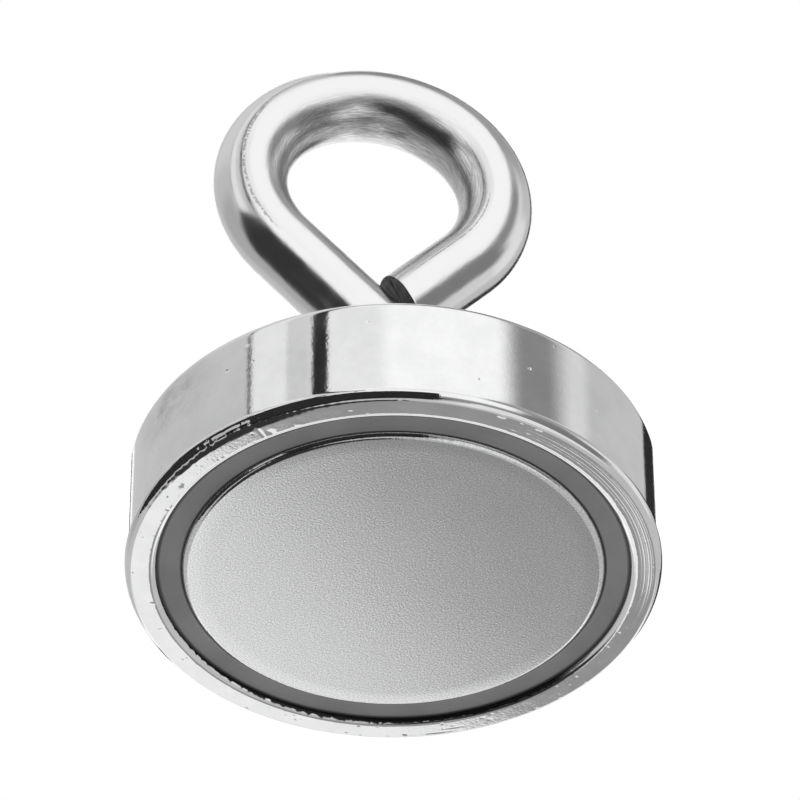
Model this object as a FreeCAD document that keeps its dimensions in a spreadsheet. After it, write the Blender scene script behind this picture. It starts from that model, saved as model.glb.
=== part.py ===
"""A magnet fishing magnet: a round pot magnet with an open bent-rod eye bolt screwed into its back.

Frame, in millimetres: the origin is the centre of the pulling face, +Z runs along the shank towards the eye,
and the eye lies in the XZ plane. The pot stands on its pulling face, z = 0.

The pieces, from the face upwards:
    steel_cup       turned steel pot with a flat-bottomed cavity and a tapped hole through its floor
    magnet_disc     neodymium disc in the cavity, its face flush with the cup's rim
    resin_ring      potting resin in the gap round the disc, poured a little below the rim
    adhesive_film   glue between the disc's back and the cavity floor, open over the tapped hole
    flat_washer     plain washer on the cup's back
    spring_washer   split lock washer, pressed flat
    lock_nut        hexagon nut that locks the bolt
    eye_bolt        one bent rod: rolled thread, neck, eye, and a cropped end that stops short of the neck

The threads are plain cylinders: the bolt's is its crest cylinder, and the tapped hole and the nut clear it by
thread_clearance all round.
"""

import FreeCAD, Part

import math
import os

import Sketcher

OUT = "parts"
SHEET = "Dimensions"
NEAR = 1e-4  # mm, the same radius or height

DRIVING = {
    # pot
    "cup_diameter": 48.0,
    "cup_height": 11.5,
    "cup_rim_round": 0.55,
    "cup_back_round": 0.8,
    "cavity_diameter": 42.6,
    "cavity_depth": 6.15,
    "mouth_bevel_width": 0.65,
    "mouth_bevel_depth": 0.25,
    # what fills the cavity
    "magnet_diameter": 38.0,
    "magnet_thickness": 6.0,
    "magnet_edge_round": 0.6,
    "resin_recess": 0.55,
    "film_hole_diameter": 10.0,
    # thread
    "thread_diameter": 7.9,
    "thread_clearance": 0.05,
    "thread_start": 6.6,
    "thread_top": 23.2,
    "thread_end_chamfer": 0.8,
    "thread_runout": 0.4,
    "hole_sink": 0.6,
    # bent rod
    "rod_diameter": 7.05,
    "rod_start": 20.0,
    "eye_inner_diameter": 16.6,
    "eye_centre_height": 46.75,
    "eye_centre_offset": 1.8,
    "leg_angle": 42.6,
    "neck_bend_radius": 7.0,
    "tip_length": 8.6,
    "tip_cut_angle": 18.0,
    "tip_stub_half": 1.4,
    "tip_cutter_width": 9.0,
    "tip_cutter_depth": 3.0,
    # fasteners
    "washer_outer": 16.0,
    "washer_hole": 8.4,
    "washer_thickness": 1.6,
    "washer_edge_round": 0.25,
    "spring_outer": 14.2,
    "spring_hole": 8.3,
    "spring_thickness": 2.0,
    "spring_gap": 0.9,
    "spring_slant": 25.0,
    "nut_flats": 13.0,
    "nut_thickness": 6.5,
    "nut_sink": 0.7,
    "nut_face_diameter": 12.3,
    "nut_corner_angle": 30.0,
    "nut_corner_width": 2.0,
}


def cell(name):
    """The expression that reads a driving dimension."""
    return f"{SHEET}.{name}"


# places that several pieces share, as expressions
THREAD_BORE = f"{cell('thread_diameter')} + 2 * {cell('thread_clearance')}"
WASHER_LEVEL = cell("cup_height")
SPRING_LEVEL = f"{WASHER_LEVEL} + {cell('washer_thickness')}"
NUT_LEVEL = f"{SPRING_LEVEL} + {cell('spring_thickness')}"
NUT_TOP = f"{NUT_LEVEL} + {cell('nut_thickness')}"
EYE_RADIUS = f"({cell('eye_inner_diameter')} + {cell('rod_diameter')}) / 2"
LEG_ANGLE = f"{cell('leg_angle')} * 1 deg"


def make_sheet(doc):
    sheet = doc.addObject("Spreadsheet::Sheet", SHEET)
    for row, (name, value) in enumerate(DRIVING.items(), start=1):
        sheet.set(f"A{row}", name)
        sheet.set(f"B{row}", str(value))
        sheet.setAlias(f"B{row}", name)
    doc.recompute()


# ---- sketches ------------------------------------------------------------------------------------------------


def make_body(doc, label):
    body = doc.addObject("PartDesign::Body", label)
    body.Label = label
    return body


def origin_plane(body, role):
    return next(feature for feature in body.Origin.OriginFeatures if feature.Role == role)


def make_sketch(body, name, role="XY_Plane", height=None):
    """A sketch on one of the body's own planes, moved along the plane's normal by an expression."""
    sketch = body.newObject("Sketcher::SketchObject", name)
    sketch.AttachmentSupport = (origin_plane(body, role), "")
    sketch.MapMode = "FlatFace"
    if height is not None:
        sketch.setExpression("AttachmentOffset.Base.z", height)
    return sketch


def constrain(sketch, kind, *where, name=None, value=None):
    """Adds a constraint; a named one follows an expression."""
    number = sketch.addConstraint(Sketcher.Constraint(kind, *where))
    if name is not None:
        sketch.renameConstraint(number, name)
        sketch.setExpression(f"Constraints.{name}", value)


def add_circle(sketch, name, diameter):
    """A circle about the sketch's origin."""
    first_size = 10.0
    circle = Part.Circle(FreeCAD.Vector(0, 0, 0), FreeCAD.Vector(0, 0, 1), first_size / 2)
    index = sketch.addGeometry(circle, False)
    constrain(sketch, "Coincident", index, 3, -1, 1)
    constrain(sketch, "Diameter", index, first_size, name=name, value=diameter)


def circle_sketch(body, name, *diameters, height=None):
    sketch = make_sketch(body, name, height=height)
    for number, diameter in enumerate(diameters, start=1):
        add_circle(sketch, f"circle_{number}", diameter)
    return sketch


def add_polygon(sketch, points):
    """A closed run of straight lines: line n starts at point n."""
    corners = [FreeCAD.Vector(x, y, 0) for x, y in points]
    count = len(corners)
    for number in range(count):
        line = Part.LineSegment(corners[number], corners[(number + 1) % count])
        sketch.addGeometry(line, False)
    for number in range(count):
        constrain(sketch, "Coincident", number, 2, (number + 1) % count, 1)


def rectangle_sketch(body, name, width, depth, centre_x, centre_z, tilt):
    """A rectangle in the XZ plane, centred on a point and tilted about it, both by expressions."""
    sketch = make_sketch(body, name, role="XZ_Plane")
    sketch.AttachmentOffset = FreeCAD.Placement(
        FreeCAD.Vector(0, 0, 0), FreeCAD.Rotation(FreeCAD.Vector(0, 0, 1), 10)
    )
    sketch.setExpression("AttachmentOffset.Base.x", centre_x)
    sketch.setExpression("AttachmentOffset.Base.y", centre_z)
    sketch.setExpression("AttachmentOffset.Rotation.Angle", tilt)
    add_polygon(sketch, [(-1, -1), (1, -1), (1, 1), (-1, 1)])
    for line, kind in enumerate(("Horizontal", "Vertical", "Horizontal", "Vertical")):
        constrain(sketch, kind, line)
    constrain(sketch, "Symmetric", 0, 1, 2, 1, -1, 1)
    constrain(sketch, "DistanceX", 0, 1, 0, 2, 2.0, name="width", value=width)
    constrain(sketch, "DistanceY", 1, 1, 1, 2, 2.0, name="depth", value=depth)
    return sketch


# ---- features ------------------------------------------------------------------------------------------------


def pad(body, name, sketch, length):
    """Adds the sketch's outline, drawn out along its normal."""
    feature = body.newObject("PartDesign::Pad", name)
    feature.Profile = sketch
    feature.setExpression("Length", length)
    return feature


def pocket(body, name, sketch, length, along_normal=False, both_sides=False):
    """Cuts the sketch's outline out of the body, against the sketch's normal unless told otherwise."""
    feature = body.newObject("PartDesign::Pocket", name)
    feature.Profile = sketch
    feature.Reversed = along_normal
    feature.Midplane = both_sides
    feature.setExpression("Length", length)
    return feature


def groove(body, name, sketch):
    """Turns the sketch's outline away, all the way round the sketch's vertical axis."""
    feature = body.newObject("PartDesign::Groove", name)
    feature.Profile = sketch
    feature.ReferenceAxis = (sketch, ["V_Axis"])
    feature.Angle = 360.0
    return feature


def circular_edges(feature, radius, *levels):
    """The names of the feature's full circles about the Z axis with that radius, at those heights."""
    names = []
    for number, edge in enumerate(feature.Shape.Edges, start=1):
        curve = edge.Curve
        if not isinstance(curve, Part.Circle) or not edge.isClosed():
            continue
        at_level = any(abs(curve.Center.z - level) < NEAR for level in levels)
        if at_level and abs(curve.Radius - radius) < NEAR:
            names.append(f"Edge{number}")
    if len(names) != len(levels):
        raise RuntimeError(f"{feature.Name}: {len(names)} edges of radius {radius}, not {len(levels)}")
    return names


def fillet(body, name, radius_cell, radius, *levels):
    """Rounds the circular edges of the body's last feature that have that radius, at those heights."""
    body.Document.recompute()
    base = body.Tip
    feature = body.newObject("PartDesign::Fillet", name)
    feature.Base = (base, circular_edges(base, radius, *levels))
    feature.setExpression("Radius", cell(radius_cell))
    return feature


def chamfer(body, name, size_cell, radius, *levels):
    """Bevels the circular edges of the body's last feature that have that radius, at those heights."""
    body.Document.recompute()
    base = body.Tip
    feature = body.newObject("PartDesign::Chamfer", name)
    feature.Base = (base, circular_edges(base, radius, *levels))
    feature.setExpression("Size", cell(size_cell))
    return feature


def level_of(doc, expression):
    """The number that an expression comes to now."""
    return float(doc.getObject(SHEET).evalExpression(expression))


# ---- the pot -------------------------------------------------------------------------------------------------


def mouth_sketch(body):
    """Half the section of the shallow bevel between the rim's flat and the cavity's bore."""
    sketch = make_sketch(body, "mouth_outline", role="XZ_Plane")
    bore = DRIVING["cavity_diameter"] / 2
    width = DRIVING["mouth_bevel_width"]
    depth = DRIVING["mouth_bevel_depth"]
    add_polygon(sketch, [(bore, 0), (bore + width, 0), (bore, depth)])
    constrain(sketch, "PointOnObject", 0, 1, -1)
    constrain(sketch, "Horizontal", 0)
    constrain(sketch, "Vertical", 2)
    constrain(sketch, "DistanceX", -1, 1, 0, 1, bore, name="bore", value=f"{cell('cavity_diameter')} / 2")
    constrain(sketch, "DistanceX", 0, 1, 0, 2, width, name="width", value=cell("mouth_bevel_width"))
    constrain(sketch, "DistanceY", 0, 1, 1, 2, depth, name="depth", value=cell("mouth_bevel_depth"))
    return sketch


def steel_cup(doc):
    body = make_body(doc, "steel_cup")
    outer = DRIVING["cup_diameter"] / 2
    height = DRIVING["cup_height"]
    bore = (DRIVING["thread_diameter"] / 2) + DRIVING["thread_clearance"]
    floor = f"{cell('cup_height')} - {cell('cavity_depth')}"
    pad(body, "blank", circle_sketch(body, "blank_outline", cell("cup_diameter")), cell("cup_height"))
    cavity = circle_sketch(body, "cavity_outline", cell("cavity_diameter"))
    pocket(body, "cavity", cavity, cell("cavity_depth"), along_normal=True)
    hole = circle_sketch(body, "hole_outline", THREAD_BORE, height=cell("cup_height"))
    pocket(body, "tapped_hole", hole, floor)
    groove(body, "mouth_bevel", mouth_sketch(body))
    chamfer(body, "hole_sink", "hole_sink", bore, height)
    fillet(body, "rim_round", "cup_rim_round", outer, 0.0)
    fillet(body, "back_round", "cup_back_round", outer, height)
    return body


def magnet_disc(doc):
    body = make_body(doc, "magnet_disc")
    outline = circle_sketch(body, "disc_outline", cell("magnet_diameter"))
    pad(body, "disc", outline, cell("magnet_thickness"))
    radius = DRIVING["magnet_diameter"] / 2
    fillet(body, "edge_round", "magnet_edge_round", radius, 0.0, DRIVING["magnet_thickness"])
    return body


def resin_ring(doc):
    body = make_body(doc, "resin_ring")
    diameters = (cell("cavity_diameter"), cell("magnet_diameter"))
    outline = circle_sketch(body, "ring_outline", *diameters, height=cell("resin_recess"))
    pad(body, "ring", outline, f"{cell('cavity_depth')} - {cell('resin_recess')}")
    return body


def adhesive_film(doc):
    body = make_body(doc, "adhesive_film")
    diameters = (cell("magnet_diameter"), cell("film_hole_diameter"))
    outline = circle_sketch(body, "film_outline", *diameters, height=cell("magnet_thickness"))
    pad(body, "film", outline, f"{cell('cavity_depth')} - {cell('magnet_thickness')}")
    return body


# ---- fasteners -----------------------------------------------------------------------------------------------


def flat_washer(doc):
    body = make_body(doc, "flat_washer")
    diameters = (cell("washer_outer"), cell("washer_hole"))
    outline = circle_sketch(body, "washer_outline", *diameters, height=WASHER_LEVEL)
    pad(body, "washer", outline, cell("washer_thickness"))
    levels = (level_of(doc, WASHER_LEVEL), level_of(doc, SPRING_LEVEL))
    fillet(body, "edge_round", "washer_edge_round", DRIVING["washer_outer"] / 2, *levels)
    return body


def spring_washer(doc):
    """The split faces -Y and leans so that its ends bite as the nut turns back on a right-hand thread."""
    body = make_body(doc, "spring_washer")
    diameters = (cell("spring_outer"), cell("spring_hole"))
    outline = circle_sketch(body, "coil_outline", *diameters, height=SPRING_LEVEL)
    pad(body, "coil", outline, cell("spring_thickness"))
    middle = f"{SPRING_LEVEL} + {cell('spring_thickness')} / 2"
    slit = rectangle_sketch(
        body,
        "slit_outline",
        width=cell("spring_gap"),
        depth=f"2 * {cell('spring_thickness')}",
        centre_x="0 mm",
        centre_z=middle,
        tilt=f"{cell('spring_slant')} * 1 deg",
    )
    pocket(body, "slit", slit, cell("spring_outer"), along_normal=True)
    return body


def corner_sketch(body, name, level, upwards):
    """Half the section of what is turned off a nut's corners at one of its faces."""
    sketch = make_sketch(body, name, role="XZ_Plane")
    start = DRIVING["nut_face_diameter"] / 2
    width = DRIVING["nut_corner_width"]
    height = level_of(body.Document, level)
    angle = math.radians(DRIVING["nut_corner_angle"])
    rise = width * math.tan(angle) * (1 if upwards else -1)
    add_polygon(sketch, [(start, height), (start + width, height), (start + width, height + rise)])
    constrain(sketch, "Horizontal", 0)
    constrain(sketch, "Vertical", 1)
    constrain(sketch, "DistanceX", -1, 1, 0, 1, start, name="start", value=f"{cell('nut_face_diameter')} / 2")
    constrain(sketch, "DistanceY", -1, 1, 0, 1, height, name="level", value=level)
    constrain(sketch, "DistanceX", 0, 1, 0, 2, width, name="width", value=cell("nut_corner_width"))
    rise_value = f"{cell('nut_corner_width')} * tan({cell('nut_corner_angle')} * 1 deg)"
    ends = (1, 1, 1, 2) if upwards else (1, 2, 1, 1)
    constrain(sketch, "DistanceY", *ends, abs(rise), name="rise", value=rise_value)
    return sketch


def lock_nut(doc):
    body = make_body(doc, "lock_nut")
    hexagon = body.newObject("PartDesign::AdditivePrism", "hexagon")
    hexagon.Polygon = 6
    hexagon.AttachmentSupport = (origin_plane(body, "XY_Plane"), "")
    hexagon.MapMode = "FlatFace"
    hexagon.setExpression("AttachmentOffset.Base.z", NUT_LEVEL)
    hexagon.setExpression("Circumradius", f"{cell('nut_flats')} / sqrt(3)")
    hexagon.setExpression("Height", cell("nut_thickness"))
    groove(body, "lower_corners", corner_sketch(body, "lower_corner_outline", NUT_LEVEL, upwards=True))
    groove(body, "upper_corners", corner_sketch(body, "upper_corner_outline", NUT_TOP, upwards=False))
    hole = circle_sketch(body, "hole_outline", THREAD_BORE, height=NUT_TOP)
    pocket(body, "threaded_hole", hole, cell("nut_thickness"))
    bore = DRIVING["thread_diameter"] / 2 + DRIVING["thread_clearance"]
    chamfer(body, "hole_sinks", "nut_sink", bore, level_of(doc, NUT_LEVEL), level_of(doc, NUT_TOP))
    return body


# ---- the bent rod --------------------------------------------------------------------------------------------


def rod_path_sketch(body):
    """The rod's centreline: up the axis, over the neck's bend, up the leg, round the eye and down to the tip."""
    sketch = make_sketch(body, "rod_path", role="XZ_Plane")
    start = DRIVING["rod_start"]
    radius = (DRIVING["eye_inner_diameter"] + DRIVING["rod_diameter"]) / 2
    offset = DRIVING["eye_centre_offset"]
    height = DRIVING["eye_centre_height"]
    bend = DRIVING["neck_bend_radius"]
    angle = math.radians(DRIVING["leg_angle"])
    last_run = DRIVING["tip_length"] - DRIVING["tip_stub_half"]

    along_x = radius * math.cos(angle)
    below = radius * math.sin(angle)
    left_end = FreeCAD.Vector(-offset - along_x, height - below, 0)
    right_end = FreeCAD.Vector(-offset + along_x, height - below, 0)
    corner_height = left_end.y + left_end.x / math.tan(angle)
    set_back = bend * math.tan(angle / 2)
    bend_start = FreeCAD.Vector(0, corner_height - set_back, 0)
    bend_end = FreeCAD.Vector(-set_back * math.sin(angle), corner_height + set_back * math.cos(angle), 0)
    tip = right_end - FreeCAD.Vector(last_run * math.sin(angle), last_run * math.cos(angle), 0)

    normal = FreeCAD.Vector(0, 0, 1)
    neck_circle = Part.Circle(FreeCAD.Vector(-bend, bend_start.y, 0), normal, bend)
    eye_circle = Part.Circle(FreeCAD.Vector(-offset, height, 0), normal, radius)
    runs = [
        Part.LineSegment(FreeCAD.Vector(0, start, 0), bend_start),
        Part.ArcOfCircle(neck_circle, 0, angle),
        Part.LineSegment(bend_end, left_end),
        Part.ArcOfCircle(eye_circle, -angle, math.pi + angle),
        Part.LineSegment(right_end, tip),
    ]
    shank, neck, leg, eye, cropped_leg = [sketch.addGeometry(run, False) for run in runs]

    constrain(sketch, "PointOnObject", shank, 1, -2)
    constrain(sketch, "Vertical", shank)
    constrain(sketch, "Tangent", shank, 2, neck, 1)
    constrain(sketch, "Tangent", neck, 2, leg, 1)
    constrain(sketch, "Tangent", leg, 2, eye, 2)
    constrain(sketch, "Tangent", eye, 1, cropped_leg, 1)
    constrain(sketch, "Radius", neck, bend, name="neck_bend", value=cell("neck_bend_radius"))
    constrain(sketch, "Radius", eye, radius, name="eye_radius", value=EYE_RADIUS)
    constrain(sketch, "DistanceX", eye, 3, -1, 1, offset, name="eye_offset", value=cell("eye_centre_offset"))
    constrain(sketch, "DistanceY", -1, 1, eye, 3, height, name="eye_height", value=cell("eye_centre_height"))
    constrain(sketch, "DistanceY", -1, 1, shank, 1, start, name="rod_start", value=cell("rod_start"))
    leg_slope = f"90 deg + {LEG_ANGLE}"
    constrain(sketch, "Angle", leg, math.pi / 2 + angle, name="leg_slope", value=leg_slope)
    constrain(sketch, "Angle", cropped_leg, -math.pi / 2 - angle, name="tip_slope", value=f"-({leg_slope})")
    last_run_value = f"{cell('tip_length')} - {cell('tip_stub_half')}"
    constrain(sketch, "Distance", cropped_leg, last_run, name="last_run", value=last_run_value)
    return sketch


def along_cropped_leg(distance):
    """Expressions for X and Z at a distance down the cropped leg from the end of the eye's arc."""
    x = f"({EYE_RADIUS}) * cos({LEG_ANGLE}) - {cell('eye_centre_offset')} - ({distance}) * sin({LEG_ANGLE})"
    z = f"{cell('eye_centre_height')} - ({EYE_RADIUS}) * sin({LEG_ANGLE}) - ({distance}) * cos({LEG_ANGLE})"
    return x, z


def cropped_tip(body):
    """The last few millimetres of the rod, cropped on a slant that leaves the eye's outer side longer."""
    far_x, far_z = along_cropped_leg(f"{cell('tip_length')} + {cell('tip_stub_half')}")
    section = make_sketch(body, "tip_section")
    section.AttachmentOffset = FreeCAD.Placement(
        FreeCAD.Vector(0, 0, 0), FreeCAD.Rotation(FreeCAD.Vector(0, 1, 0), 10)
    )
    section.setExpression("AttachmentOffset.Base.x", far_x)
    section.setExpression("AttachmentOffset.Base.z", far_z)
    section.setExpression("AttachmentOffset.Rotation.Angle", LEG_ANGLE)
    add_circle(section, "rod", cell("rod_diameter"))
    pad(body, "tip_stub", section, f"2 * {cell('tip_stub_half')}")

    slope = f"({cell('leg_angle')} + {cell('tip_cut_angle')}) * 1 deg"
    tip_x, tip_z = along_cropped_leg(cell("tip_length"))
    half_depth = f"{cell('tip_cutter_depth')} / 2"
    cutter = rectangle_sketch(
        body,
        "crop_outline",
        width=cell("tip_cutter_width"),
        depth=cell("tip_cutter_depth"),
        centre_x=f"{tip_x} - {half_depth} * sin({slope})",
        centre_z=f"{tip_z} - {half_depth} * cos({slope})",
        tilt=f"180 deg - {slope}",
    )
    pocket(body, "crop", cutter, f"2 * {cell('rod_diameter')}", both_sides=True)


def eye_bolt(doc):
    body = make_body(doc, "eye_bolt")
    cropped_tip(body)
    section = circle_sketch(body, "rod_section", cell("rod_diameter"), height=cell("rod_start"))
    path = rod_path_sketch(body)
    rod = body.newObject("PartDesign::AdditivePipe", "rod")
    rod.Profile = section
    rod.Spine = path
    outline = circle_sketch(body, "thread_outline", cell("thread_diameter"), height=cell("thread_start"))
    pad(body, "thread", outline, f"{cell('thread_top')} - {cell('thread_start')}")
    crest = DRIVING["thread_diameter"] / 2
    chamfer(body, "end_chamfer", "thread_end_chamfer", crest, DRIVING["thread_start"])
    chamfer(body, "runout", "thread_runout", crest, DRIVING["thread_top"])
    return body


# ---- the whole part ------------------------------------------------------------------------------------------

PIECES = (
    steel_cup,
    magnet_disc,
    resin_ring,
    adhesive_film,
    flat_washer,
    spring_washer,
    lock_nut,
    eye_bolt,
)


def check_document(doc):
    failed = [f"{item.Label}: {item.State}" for item in doc.Objects if {"Invalid", "Error"} & set(item.State)]
    if failed:
        raise RuntimeError("failed objects: " + "; ".join(failed))


def check_cuts(bodies):
    """Every pocket, groove, fillet and chamfer has to take something away."""
    removing = ("PartDesign::Pocket", "PartDesign::Groove", "PartDesign::Fillet", "PartDesign::Chamfer")
    for body in bodies:
        for feature in body.Group:
            if feature.TypeId not in removing:
                continue
            removed = feature.BaseFeature.Shape.Volume - feature.Shape.Volume
            if removed <= NEAR:
                raise RuntimeError(f"{body.Label}.{feature.Label} removes nothing")
            print(f"  {body.Label}.{feature.Label} removes {removed:.3f} mm3")


def export(bodies):
    os.makedirs(OUT, exist_ok=True)
    for body in bodies:
        shape = body.Shape
        if shape.isNull() or not shape.isValid() or len(shape.Solids) != 1:
            raise RuntimeError(f"{body.Label}: shape is not one valid solid")
        shape.exportStep(f"{OUT}/{body.Label}.step")
        box = shape.BoundBox
        size = f"{box.XLength:.2f} x {box.YLength:.2f} x {box.ZLength:.2f}"
        print(f"{body.Label}: {size} mm, z {box.ZMin:.2f} to {box.ZMax:.2f}, {shape.Volume:.1f} mm3")


def main():
    doc = FreeCAD.newDocument("magnet_fishing_magnet")
    make_sheet(doc)
    bodies = [make_piece(doc) for make_piece in PIECES]
    doc.recompute()
    check_document(doc)
    check_cuts(bodies)
    export(bodies)


main()
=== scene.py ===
import math

import bpy
import numpy as np
from mathutils import Matrix, Vector, noise


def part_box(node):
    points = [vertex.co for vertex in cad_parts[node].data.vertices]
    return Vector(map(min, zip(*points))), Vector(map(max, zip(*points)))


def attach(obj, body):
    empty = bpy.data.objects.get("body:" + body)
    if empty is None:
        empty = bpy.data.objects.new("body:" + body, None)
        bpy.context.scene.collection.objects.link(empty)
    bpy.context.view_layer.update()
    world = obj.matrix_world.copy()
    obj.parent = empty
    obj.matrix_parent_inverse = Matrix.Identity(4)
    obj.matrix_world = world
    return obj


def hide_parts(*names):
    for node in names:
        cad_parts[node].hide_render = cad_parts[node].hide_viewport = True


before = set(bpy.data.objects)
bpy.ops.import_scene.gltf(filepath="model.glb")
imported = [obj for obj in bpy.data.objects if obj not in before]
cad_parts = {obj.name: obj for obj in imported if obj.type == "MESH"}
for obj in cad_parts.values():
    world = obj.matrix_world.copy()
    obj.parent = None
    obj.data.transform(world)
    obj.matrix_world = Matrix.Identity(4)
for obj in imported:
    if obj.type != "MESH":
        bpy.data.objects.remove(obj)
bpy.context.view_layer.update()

MM = 0.001
TURN = 2 * math.pi
DEGREE = math.pi / 180
NEAR = 0.001 * MM

# ---- sizes in metres, from the frame where it holds them -----------------------------------------

CUP_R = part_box("steel_cup")[1].x
CUP_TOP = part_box("steel_cup")[1].z
BORE_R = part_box("resin_ring")[1].x
RESIN_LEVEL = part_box("resin_ring")[0].z
CAVITY_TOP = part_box("resin_ring")[1].z
MAGNET_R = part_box("magnet_disc")[1].x
MAGNET_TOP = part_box("magnet_disc")[1].z
WASHER_LOW, WASHER_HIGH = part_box("flat_washer")
SPRING_LOW, SPRING_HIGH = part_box("spring_washer")
NUT_LOW, NUT_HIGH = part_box("lock_nut")
BOLT_LOW, BOLT_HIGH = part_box("eye_bolt")

RIM_ROUND = 0.55 * MM
BACK_ROUND = 0.8 * MM
LIP_FLARE = 0.12 * MM
LIP_HEIGHT = 0.8 * MM
MOUTH_R = BORE_R + 0.65 * MM
MOUTH_ROUND = 0.42 * MM
MAGNET_ROUND = 0.6 * MM
HOLE_R = 4.0 * MM
HOLE_SINK = 0.6 * MM

PITCH = 1.25 * MM
CREST_R = BOLT_HIGH.y
THREAD_DEPTH = 0.767 * MM
THREAD_GAP = 0.05 * MM
THREAD_END = 23.2 * MM
END_CHAMFER = 0.8 * MM
NUT_CREST_R = 3.36 * MM
NUT_FACE_R = 6.15 * MM
NUT_SINK = 0.7 * MM

ROD_R = 3.525 * MM
EYE_OUTER = (BOLT_HIGH.x - BOLT_LOW.x) / 2
EYE_R = EYE_OUTER - ROD_R
EYE_X = (BOLT_HIGH.x + BOLT_LOW.x) / 2
EYE_Z = BOLT_HIGH.z - EYE_OUTER
LEG_ANGLE = 42.6 * DEGREE
NECK_BEND_R = 7.0 * MM
TIP_LENGTH = 8.6 * MM
TIP_CUT_ANGLE = 18.0 * DEGREE
TIP_EDGE = 0.10 * MM
TIP_BLEND = 3.2 * MM
TIP_DRAG = 0.7 * MM
ROD_SIDES = 96

# ---- mesh helpers --------------------------------------------------------------------------------


def add_piece(name, points, faces, material, uvs=None, sharp_angle=None):
    """A smooth-shaded mesh object; uvs holds one (u, v) for each corner of each face, in order."""
    mesh = bpy.data.meshes.new(name)
    mesh.from_pydata([tuple(p) for p in points], [], faces)
    mesh.shade_smooth()
    if sharp_angle is not None:
        mesh.set_sharp_from_angle(angle=sharp_angle)
    if uvs is not None:
        layer = mesh.uv_layers.new(name="UVMap")
        layer.data.foreach_set("uv", np.asarray(uvs, dtype=np.float32).ravel())
    mesh.materials.append(material)
    piece = bpy.data.objects.new(name, mesh)
    bpy.context.scene.collection.objects.link(piece)
    return piece


def grid_faces(rows, columns, closed_rows):
    """Quads over a grid of points numbered row by row, each row a closed ring."""
    faces = []
    for i in range(rows if closed_rows else rows - 1):
        below, above = i * columns, (i + 1) % rows * columns
        for j in range(columns):
            k = (j + 1) % columns
            faces.append((below + j, below + k, above + k, above + j))
    return faces


def fan_faces(pole, ring_start, columns, inward):
    """Triangles from a pole to a ring; inward says that the ring follows the pole in the grid's order."""
    faces = []
    for j in range(columns):
        k = (j + 1) % columns
        near, far = (ring_start + k, ring_start + j) if inward else (ring_start + j, ring_start + k)
        faces.append((pole, near, far))
    return faces


def arc(centre_r, centre_z, radius, start, end, count):
    """Points (r, z) along an arc, from one angle to the other, in degrees from the outward direction."""
    angles = np.linspace(start, end, count) * DEGREE
    return [(centre_r + radius * math.cos(a), centre_z + radius * math.sin(a)) for a in angles]


def oval_arc(centre_r, half_width, half_height, start, end, count):
    """Points (r, z) along an ellipse that stands on z = 0, between two angles in degrees."""
    angles = np.linspace(start, end, count) * DEGREE
    return [(centre_r + half_width * math.cos(a), half_height * (1 + math.sin(a))) for a in angles]


def run(start, end, count):
    """Points (r, z) along a straight line, without its last point."""
    steps = np.arange(count) / count
    return [(start[0] + (end[0] - start[0]) * s, start[1] + (end[1] - start[1]) * s) for s in steps]


def lathe(name, profile, segments, material, shape=None, solid_disc=False, sharp_angle=None):
    """Turns a profile of (r, z) points round the Z axis, counter-clockwise with r to the right and z up.

    The profile is a closed loop, or with solid_disc it starts and ends at the axis. shape(r, z, angle) may
    move the whole grid of points.
    """
    profile = np.array(profile)
    angles = np.arange(segments) * TURN / segments
    r, angle = np.meshgrid(profile[:, 0], angles, indexing="ij")
    z = np.repeat(profile[:, 1][:, None], segments, axis=1)
    if shape is not None:
        r, z = shape(r, z, angle)
    points = np.stack([r * np.cos(angle), r * np.sin(angle), z], axis=-1).reshape(-1, 3)
    faces = grid_faces(len(profile), segments, closed_rows=not solid_disc)
    if solid_disc:
        low_pole, high_pole = len(points), len(points) + 1
        points = np.vstack([points, [0, 0, z[0, 0]], [0, 0, z[-1, 0]]])
        faces += fan_faces(low_pole, 0, segments, inward=True)
        faces += fan_faces(high_pole, (len(profile) - 1) * segments, segments, inward=False)
    return add_piece(name, points, faces, material, sharp_angle=sharp_angle)


def ring_noise(angle, count, seed):
    """Smooth noise from -1 to 1 round a ring, with about that many waves."""
    radius = count / TURN * 1.2
    flat = np.unique(angle.ravel())
    values = [noise.noise(Vector((radius * math.cos(a), radius * math.sin(a), seed))) for a in flat]
    return np.interp(angle, flat, values)


def smooth(x, low, high):
    """0 below low, 1 above high, and a smooth step between."""
    t = np.clip((x - low) / (high - low), 0, 1)
    return t * t * (3 - 2 * t)


# ---- node helpers --------------------------------------------------------------------------------


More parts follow.
